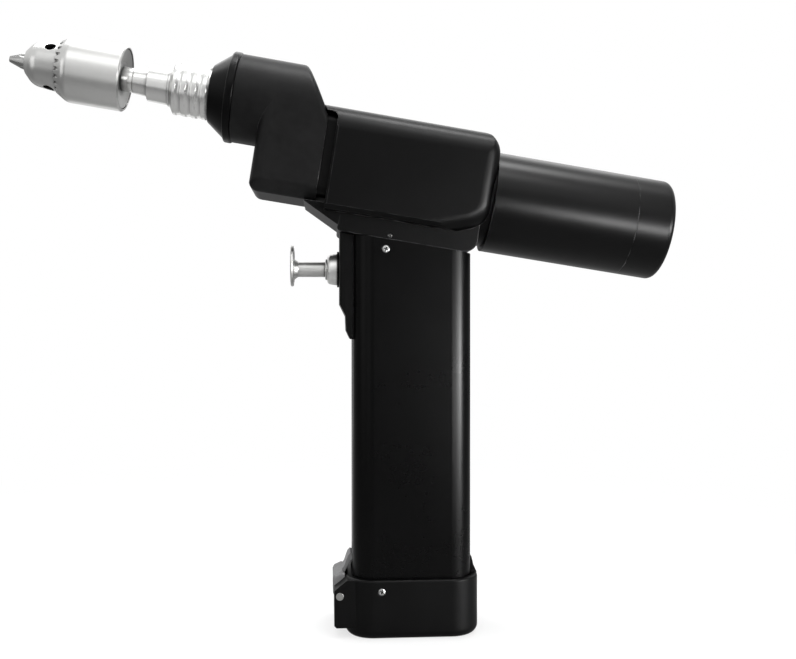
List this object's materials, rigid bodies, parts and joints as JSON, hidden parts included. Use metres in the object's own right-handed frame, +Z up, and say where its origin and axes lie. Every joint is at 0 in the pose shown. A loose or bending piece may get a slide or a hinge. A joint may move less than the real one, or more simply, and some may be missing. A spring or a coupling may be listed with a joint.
{
  "type": "surgical bone drill",
  "caption": "Pistol-grip cordless bone drill: keyed jaw chuck on a quick coupling, offset gear head, rear motor tube, push-in trigger and a latched battery in the grip.",
  "frame": {"origin": "centre of the battery cap's flat underside, below the grip's axis", "axes": "+Z up along the grip, +X from the chuck towards the motor tube, +Y to the far side of the picture"},
  "size_m": [0.2874, 0.045, 0.2558],
  "materials": {
    "black_anodised": "satin black anodised",
    "black_plastic": "fine-grained black moulding",
    "chuck_steel": "ground and satin plated",
    "bright_steel": "turned and polished",
    "screw_steel": "bright",
    "gear_steel": "cut and oiled",
    "bearing_steel": "ground",
    "spring_steel": "drawn wire",
    "motor_steel": "zinc plated",
    "cell_cans": "plain cans",
    "grey_lever": "grey satin",
    "bronze": "sintered bronze",
    "contact_brass": "bare brass",
    "black_rubber": "matt rubber",
    "green_board": "lacquered board"
  },
  "bodies": {
    "frame": {"grip_tube": "black_anodised", "grip_top_block": "black_anodised", "grip_screws": "screw_steel", "block_screws": "screw_steel", "trigger_housing": "black_plastic", "trigger_bush": "bright_steel", "housing_screws": "screw_steel", "switch_module": "black_plastic", "control_board": "green_board", "contact_block": "black_plastic", "contact_clips": "contact_brass", "body_housing": "black_anodised", "adapter_flange": "black_anodised", "head_housing": "black_anodised", "bearing_carrier": "black_anodised", "nose_cone": "black_anodised", "spindle_seal": "black_rubber", "spindle_front_bearing": "bearing_steel", "spindle_rear_bearing": "bearing_steel", "pinion_bush": "bronze", "pinion_bearing": "bearing_steel", "head_screws": "screw_steel", "ring_gear": "gear_steel", "motor_can": "motor_steel", "motor_end_bell": "black_plastic", "motor_bearings": "bronze", "cushion_ring": "black_rubber", "motor_tube": "black_anodised", "tail_cap": "black_anodised"},
    "spindle": {"spindle": "bright_steel", "spindle_gear": "gear_steel", "lock_balls": "bright_steel", "coupling_rings": "bright_steel", "chuck_arbor": "bright_steel", "chuck_body": "chuck_steel"},
    "chuck_sleeve": {"chuck_sleeve": "chuck_steel", "chuck_nut": "chuck_steel"},
    "jaw_1": {"chuck_jaw_1": "chuck_steel"},
    "jaw_2": {"chuck_jaw_2": "chuck_steel"},
    "jaw_3": {"chuck_jaw_3": "chuck_steel"},
    "release_collar": {"release_collar": "bright_steel", "collar_spring": "spring_steel"},
    "output_shaft": {"planet_carrier": "gear_steel", "output_pinion": "gear_steel", "planet_pins": "gear_steel"},
    "planet_1": {"planet_gear_1": "gear_steel"},
    "planet_2": {"planet_gear_2": "gear_steel"},
    "planet_3": {"planet_gear_3": "gear_steel"},
    "rotor": {"armature": "gear_steel", "sun_pinion": "gear_steel"},
    "trigger": {"trigger_button": "bright_steel", "trigger_spring": "spring_steel"},
    "battery": {"battery_cap": "black_plastic", "battery_case": "black_plastic", "battery_cells": "cell_cans", "battery_terminals": "contact_brass", "cap_screws": "screw_steel", "latch_pin": "bright_steel", "latch_spring": "spring_steel"},
    "latch": {"latch_lever": "grey_lever"}
  },
  "joints": [
    {"name": "rotor_spin", "type": "hinge", "parent": "frame", "child": "rotor", "pos_m": [-0.03711, 0, 0.19827], "axis": [0.9877, 0, -0.1564], "continuous": true},
    {"name": "output_spin", "type": "hinge", "parent": "frame", "child": "output_shaft", "pos_m": [-0.03711, 0, 0.19827], "axis": [0.9877, 0, -0.1564], "continuous": true},
    {"name": "spindle_spin", "type": "hinge", "parent": "frame", "child": "spindle", "pos_m": [-0.033, 0, 0.2242], "axis": [0.9877, 0, -0.1564], "continuous": true},
    {"name": "planet_1_spin", "type": "hinge", "parent": "output_shaft", "child": "planet_1", "pos_m": [-0.0356, 0, 0.20775], "axis": [0.9877, 0, -0.1564], "continuous": true},
    {"name": "planet_2_spin", "type": "hinge", "parent": "output_shaft", "child": "planet_2", "pos_m": [-0.03786, -0.00831, 0.19353], "axis": [0.9877, 0, -0.1564], "continuous": true},
    {"name": "planet_3_spin", "type": "hinge", "parent": "output_shaft", "child": "planet_3", "pos_m": [-0.03786, 0.00831, 0.19353], "axis": [0.9877, 0, -0.1564], "continuous": true},
    {"name": "chuck_turn", "type": "hinge", "parent": "spindle", "child": "chuck_sleeve", "pos_m": [-0.033, 0, 0.2242], "axis": [0.9877, 0, -0.1564], "range_deg": [0, 3062]},
    {"name": "jaw_1_slide", "type": "slide", "parent": "spindle", "child": "jaw_1", "axis": [0.9981, 0.0361, 0.0492], "range_m": [0, 0.0108]},
    {"name": "jaw_2_slide", "type": "slide", "parent": "spindle", "child": "jaw_2", "axis": [0.955, -0.1954, -0.2233], "range_m": [0, 0.0108]},
    {"name": "jaw_3_slide", "type": "slide", "parent": "spindle", "child": "jaw_3", "axis": [0.9452, 0.1593, -0.285], "range_m": [0, 0.0108]},
    {"name": "collar_slide", "type": "slide", "parent": "spindle", "child": "release_collar", "axis": [0.9877, 0, -0.1564], "range_m": [0, 0.0044], "stiffness_N_per_m": 1500, "springref_m": -0.001, "deforming": ["collar_spring"]},
    {"name": "trigger_press", "type": "slide", "parent": "frame", "child": "trigger", "axis": [1, 0, 0], "range_m": [0, 0.007], "stiffness_N_per_m": 500, "springref_m": -0.002, "deforming": ["trigger_spring"]},
    {"name": "battery_slide", "type": "slide", "parent": "frame", "child": "battery", "axis": [0, 0, -1], "range_m": [0, 0.125]},
    {"name": "latch_turn", "type": "hinge", "parent": "battery", "child": "latch", "pos_m": [-0.03105, 0, 0.0179], "axis": [0, -1, 0], "range_deg": [0, 25], "stiffness_Nm_per_rad": 0.05, "springref_deg": -3.44}
  ],
  "couplings": [
    {"joint": "output_spin", "follows": "rotor_spin", "ratio": 0.25},
    {"joint": "spindle_spin", "follows": "rotor_spin", "ratio": -0.1875},
    {"joint": "planet_1_spin", "follows": "rotor_spin", "ratio": -0.75},
    {"joint": "planet_2_spin", "follows": "rotor_spin", "ratio": -0.75},
    {"joint": "planet_3_spin", "follows": "rotor_spin", "ratio": -0.75},
    {"joint": "chuck_turn", "follows": "jaw_1_slide", "rad_per_m": 4947.4},
    {"joint": "jaw_2_slide", "follows": "jaw_1_slide", "ratio": 1},
    {"joint": "jaw_3_slide", "follows": "jaw_1_slide", "ratio": 1}
  ]
}
